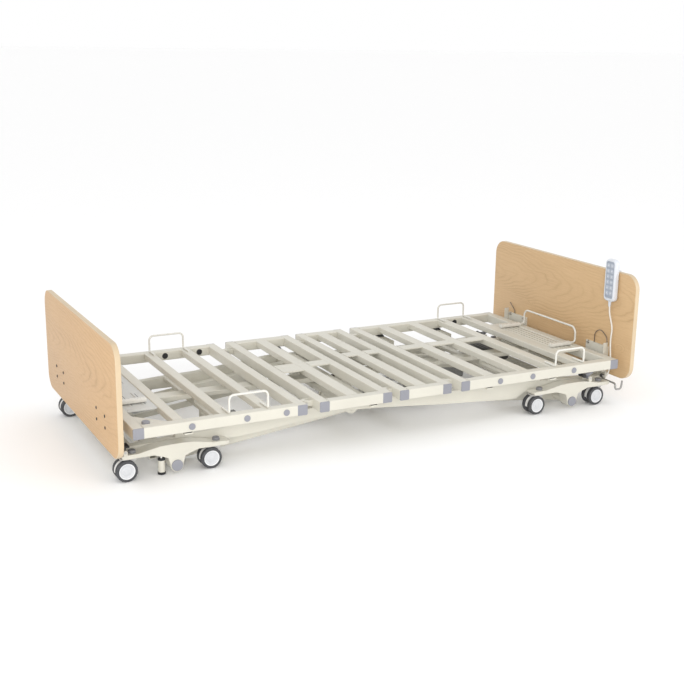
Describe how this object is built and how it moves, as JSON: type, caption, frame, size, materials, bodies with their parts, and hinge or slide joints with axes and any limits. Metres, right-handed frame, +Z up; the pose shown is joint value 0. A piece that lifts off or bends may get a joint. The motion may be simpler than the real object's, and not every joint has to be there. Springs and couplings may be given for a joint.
{
  "type": "adjustable hospital bed",
  "caption": "Low electric care bed: profiling slatted deck, lifting legs on twin castors, wood end boards, mattress retainers and a wired handset.",
  "frame": {"origin": "on the floor under the middle of the bed, flat and fully lowered", "axes": "+X towards the headboard, +Y towards the bed's left side, +Z up"},
  "size_m": [2.15, 0.974, 0.596],
  "materials": {
    "frame_paint": "satin powder coat, cream white",
    "wire_paint": "satin white coated wire",
    "laminate": "light oak laminate, satin",
    "cap_plastic": "lavender-grey moulded plastic",
    "tyre": "dark grey tread",
    "hub_plastic": "white moulded plastic",
    "castor_body": "light grey castor body",
    "steel": "bright steel",
    "rubber": "black rubber",
    "dark_plastic": "black moulded plastic",
    "handset_plastic": "white moulded plastic",
    "keypad": "grey-blue membrane",
    "cord_jacket": "white cord jacket"
  },
  "bodies": {
    "foot_carriage": {"foot_carriage_frame": "frame_paint", "foot_carriage_caps": "cap_plastic"},
    "stabilisers": {"stabiliser_feet": "frame_paint"},
    "foot_pedals": {"foot_brake_pedals": "dark_plastic"},
    "foot_leg": {"foot_leg": "frame_paint"},
    "frame": {"main_frame": "frame_paint", "rest_pads": "rubber", "control_box": "dark_plastic", "foot_lift_motor": "dark_plastic", "head_lift_motor": "dark_plastic", "back_motor": "dark_plastic", "knee_motor": "dark_plastic", "seat_section_frame": "frame_paint", "seat_section_caps": "cap_plastic", "seat_hinge_pins": "steel", "headboard": "laminate", "footboard": "laminate", "board_brackets": "frame_paint", "bracket_wires": "steel", "board_screws": "steel", "handset_body": "handset_plastic", "handset_keypad": "keypad", "handset_cord": "cord_jacket"},
    "foot_lift_rod": {"foot_lift_rod": "steel"},
    "head_lift_rod": {"head_lift_rod": "steel"},
    "back_rod": {"back_rod": "steel"},
    "knee_rod": {"knee_rod": "steel"},
    "foot_level_link": {"foot_level_link": "frame_paint"},
    "head_level_link": {"head_level_link": "frame_paint"},
    "thigh_section": {"thigh_section_frame": "frame_paint", "thigh_section_caps": "cap_plastic", "knee_hinge_pins": "steel"},
    "leg_section": {"leg_section_frame": "frame_paint", "leg_section_caps": "cap_plastic", "foot_panel": "frame_paint", "leg_retainers": "wire_paint"},
    "back_section": {"back_section_frame": "frame_paint", "back_section_caps": "cap_plastic", "head_panel": "frame_paint", "back_retainers": "wire_paint"},
    "head_leg": {"head_leg": "frame_paint"},
    "head_carriage": {"head_carriage_frame": "frame_paint", "head_carriage_caps": "cap_plastic"},
    "head_levers": {"head_brake_levers": "cap_plastic"},
    "castor_foot_right_outer": {"castor_fork_foot_right_outer": "castor_body"},
    "wheels_foot_right_outer": {"castor_wheels_foot_right_outer": "tyre"},
    "castor_foot_right_inner": {"castor_fork_foot_right_inner": "castor_body"},
    "wheels_foot_right_inner": {"castor_wheels_foot_right_inner": "tyre"},
    "castor_foot_left_outer": {"castor_fork_foot_left_outer": "castor_body"},
    "wheels_foot_left_outer": {"castor_wheels_foot_left_outer": "tyre"},
    "castor_foot_left_inner": {"castor_fork_foot_left_inner": "castor_body"},
    "wheels_foot_left_inner": {"castor_wheels_foot_left_inner": "tyre"},
    "castor_head_right_outer": {"castor_fork_head_right_outer": "castor_body"},
    "wheels_head_right_outer": {"castor_wheels_head_right_outer": "tyre"},
    "castor_head_right_inner": {"castor_fork_head_right_inner": "castor_body"},
    "wheels_head_right_inner": {"castor_wheels_head_right_inner": "tyre"},
    "castor_head_left_outer": {"castor_fork_head_left_outer": "castor_body"},
    "wheels_head_left_outer": {"castor_wheels_head_left_outer": "tyre"},
    "castor_head_left_inner": {"castor_fork_head_left_inner": "castor_body"},
    "wheels_head_left_inner": {"castor_wheels_head_left_inner": "tyre"}
  },
  "joints": [
    {"name": "foot_leg_lift", "type": "hinge", "parent": "foot_carriage", "child": "foot_leg", "pos_m": [-0.848, 0, 0.032], "axis": [0, -1, 0], "range_deg": [0, 57]},
    {"name": "frame_level", "type": "hinge", "parent": "foot_leg", "child": "frame", "pos_m": [-0.13315, 0, 0.118], "axis": [0, -1, 0], "range_deg": [-57, 0]},
    {"name": "head_leg_lift", "type": "hinge", "parent": "frame", "child": "head_leg", "pos_m": [0.12115, 0, 0.118], "axis": [0, 1, 0], "range_deg": [0, 57]},
    {"name": "head_carriage_level", "type": "hinge", "parent": "head_leg", "child": "head_carriage", "pos_m": [0.836, 0, 0.032], "axis": [0, 1, 0], "range_deg": [-57, 0]},
    {"name": "foot_link_swing", "type": "hinge", "parent": "frame", "child": "foot_level_link", "pos_m": [-0.17316, 0.05, 0.15], "axis": [0, -1, 0], "range_deg": [0, 57]},
    {"name": "head_link_swing", "type": "hinge", "parent": "frame", "child": "head_level_link", "pos_m": [0.16115, 0.05, 0.15], "axis": [0, 1, 0], "range_deg": [0, 57]},
    {"name": "foot_lift_rod_slide", "type": "slide", "parent": "frame", "child": "foot_lift_rod", "axis": [1, 0, 0], "range_m": [0, 0.0621]},
    {"name": "head_lift_rod_slide", "type": "slide", "parent": "frame", "child": "head_lift_rod", "axis": [-1, 0, 0], "range_m": [0, 0.0621]},
    {"name": "back_lift", "type": "hinge", "parent": "frame", "child": "back_section", "pos_m": [0.238, 0, 0.183], "axis": [0, -1, 0], "range_deg": [0, 60]},
    {"name": "back_rod_slide", "type": "slide", "parent": "frame", "child": "back_rod", "axis": [1, 0, 0], "range_m": [0, 0.118]},
    {"name": "thigh_lift", "type": "hinge", "parent": "frame", "child": "thigh_section", "pos_m": [-0.024, 0, 0.183], "axis": [0, 1, 0], "range_deg": [0, 35]},
    {"name": "knee_fold", "type": "hinge", "parent": "thigh_section", "child": "leg_section", "pos_m": [-0.3585, 0, 0.183], "axis": [0, 1, 0], "range_deg": [-52, 0]},
    {"name": "knee_rod_slide", "type": "slide", "parent": "frame", "child": "knee_rod", "axis": [-1, 0, 0], "range_m": [0, 0.065]},
    {"name": "foot_brake", "type": "hinge", "parent": "foot_carriage", "child": "foot_pedals", "pos_m": [-1.026, 0, 0.104], "axis": [0, 1, 0], "range_deg": [-12, 12]},
    {"name": "head_brake", "type": "hinge", "parent": "head_carriage", "child": "head_levers", "pos_m": [0.926, 0, 0.118], "axis": [0, 1, 0], "range_deg": [-12, 12]},
    {"name": "stabiliser_lift", "type": "slide", "parent": "foot_carriage", "child": "stabilisers", "axis": [0, 0, 1], "range_m": [0, 0.01]},
    {"name": "swivel_foot_right_outer", "type": "hinge", "parent": "foot_carriage", "child": "castor_foot_right_outer", "pos_m": [-0.998, -0.378, 0.085], "axis": [0, 0, 1], "continuous": true},
    {"name": "roll_foot_right_outer", "type": "hinge", "parent": "castor_foot_right_outer", "child": "wheels_foot_right_outer", "pos_m": [-1.023, -0.378, 0.0375], "axis": [0, 1, 0], "continuous": true},
    {"name": "swivel_foot_right_inner", "type": "hinge", "parent": "foot_carriage", "child": "castor_foot_right_inner", "pos_m": [-0.698, -0.378, 0.085], "axis": [0, 0, 1], "continuous": true},
    {"name": "roll_foot_right_inner", "type": "hinge", "parent": "castor_foot_right_inner", "child": "wheels_foot_right_inner", "pos_m": [-0.723, -0.378, 0.0375], "axis": [0, 1, 0], "continuous": true},
    {"name": "swivel_foot_left_outer", "type": "hinge", "parent": "foot_carriage", "child": "castor_foot_left_outer", "pos_m": [-0.998, 0.378, 0.085], "axis": [0, 0, 1], "continuous": true},
    {"name": "roll_foot_left_outer", "type": "hinge", "parent": "castor_foot_left_outer", "child": "wheels_foot_left_outer", "pos_m": [-1.023, 0.378, 0.0375], "axis": [0, 1, 0], "continuous": true},
    {"name": "swivel_foot_left_inner", "type": "hinge", "parent": "foot_carriage", "child": "castor_foot_left_inner", "pos_m": [-0.698, 0.378, 0.085], "axis": [0, 0, 1], "continuous": true},
    {"name": "roll_foot_left_inner", "type": "hinge", "parent": "castor_foot_left_inner", "child": "wheels_foot_left_inner", "pos_m": [-0.723, 0.378, 0.0375], "axis": [0, 1, 0], "continuous": true},
    {"name": "swivel_head_right_outer", "type": "hinge", "parent": "head_carriage", "child": "castor_head_right_outer", "pos_m": [0.986, -0.378, 0.085], "axis": [0, 0, 1], "continuous": true},
    {"name": "roll_head_right_outer", "type": "hinge", "parent": "castor_head_right_outer", "child": "wheels_head_right_outer", "pos_m": [0.961, -0.378, 0.0375], "axis": [0, 1, 0], "continuous": true},
    {"name": "swivel_head_right_inner", "type": "hinge", "parent": "head_carriage", "child": "castor_head_right_inner", "pos_m": [0.686, -0.378, 0.085], "axis": [0, 0, 1], "continuous": true},
    {"name": "roll_head_right_inner", "type": "hinge", "parent": "castor_head_right_inner", "child": "wheels_head_right_inner", "pos_m": [0.661, -0.378, 0.0375], "axis": [0, 1, 0], "continuous": true},
    {"name": "swivel_head_left_outer", "type": "hinge", "parent": "head_carriage", "child": "castor_head_left_outer", "pos_m": [0.986, 0.378, 0.085], "axis": [0, 0, 1], "continuous": true},
    {"name": "roll_head_left_outer", "type": "hinge", "parent": "castor_head_left_outer", "child": "wheels_head_left_outer", "pos_m": [0.961, 0.378, 0.0375], "axis": [0, 1, 0], "continuous": true},
    {"name": "swivel_head_left_inner", "type": "hinge", "parent": "head_carriage", "child": "castor_head_left_inner", "pos_m": [0.686, 0.378, 0.085], "axis": [0, 0, 1], "continuous": true},
    {"name": "roll_head_left_inner", "type": "hinge", "parent": "castor_head_left_inner", "child": "wheels_head_left_inner", "pos_m": [0.661, 0.378, 0.0375], "axis": [0, 1, 0], "continuous": true}
  ],
  "couplings": [
    {"joint": "frame_level", "follows": "foot_leg_lift", "ratio": -1},
    {"joint": "head_leg_lift", "follows": "foot_leg_lift", "ratio": 1},
    {"joint": "head_carriage_level", "follows": "foot_leg_lift", "ratio": -1},
    {"joint": "foot_link_swing", "follows": "foot_leg_lift", "ratio": 1},
    {"joint": "head_link_swing", "follows": "foot_leg_lift", "ratio": 1},
    {"joint": "foot_lift_rod_slide", "follows": "foot_leg_lift", "m_per_rad": 0.062331},
    {"joint": "head_lift_rod_slide", "follows": "foot_leg_lift", "m_per_rad": 0.062331},
    {"joint": "back_rod_slide", "follows": "back_lift", "m_per_rad": 0.11268},
    {"joint": "knee_fold", "follows": "thigh_lift", "ratio": -1.484},
    {"joint": "knee_rod_slide", "follows": "thigh_lift", "m_per_rad": 0.10633}
  ]
}
